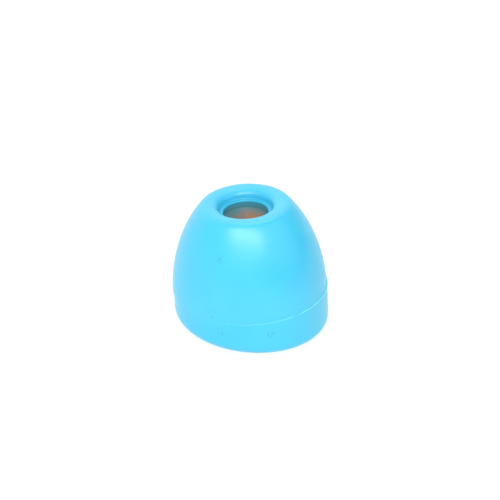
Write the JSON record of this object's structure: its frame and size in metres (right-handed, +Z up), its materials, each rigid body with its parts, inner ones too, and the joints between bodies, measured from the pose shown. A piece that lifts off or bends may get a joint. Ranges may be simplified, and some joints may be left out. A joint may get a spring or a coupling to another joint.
{
  "type": "pipette filler bulb",
  "caption": "Soft squeeze bulb with a rolled mouth on a rounded base cup; a rubber seat under the mouth grips the top of a pipette, and a filter behind it keeps liquid out.",
  "frame": {"origin": "on the surface that the bulb stands on, under the middle of its overall width and depth", "axes": "+Z up, square to the foot; the bulb's own axis leans 6 degrees from +Z toward -X, and the base is deepest on its +X side"},
  "size_m": [0.0419, 0.041, 0.0357],
  "materials": {
    "base_cup": "satin moulded plastic, light blue",
    "base_seal": "black nitrile rubber",
    "bulb_dome": "satin silicone rubber, light blue",
    "seat_carrier": "white moulded plastic",
    "pipette_seat": "matt orange-brown rubber",
    "filter_disc": "porous sintered plastic, off-white",
    "filter_cage": "white moulded plastic"
  },
  "bodies": {
    "base": {"base_cup": "base_cup", "base_seal": "base_seal"},
    "bulb": {"bulb_dome": "bulb_dome"},
    "mouth_unit": {"seat_carrier": "seat_carrier", "pipette_seat": "pipette_seat", "filter_disc": "filter_disc", "filter_cage": "filter_cage"}
  },
  "joints": [
    {"name": "bulb_pull_off", "type": "slide", "parent": "base", "child": "bulb", "axis": [-0.1045, 0, 0.9945], "range_m": [0, 0.012]},
    {"name": "squeeze", "type": "slide", "parent": "bulb", "child": "mouth_unit", "axis": [0.1045, 0, -0.9945], "range_m": [0, 0.008], "stiffness_N_per_m": 500, "deforming": ["bulb_dome"]}
  ]
}
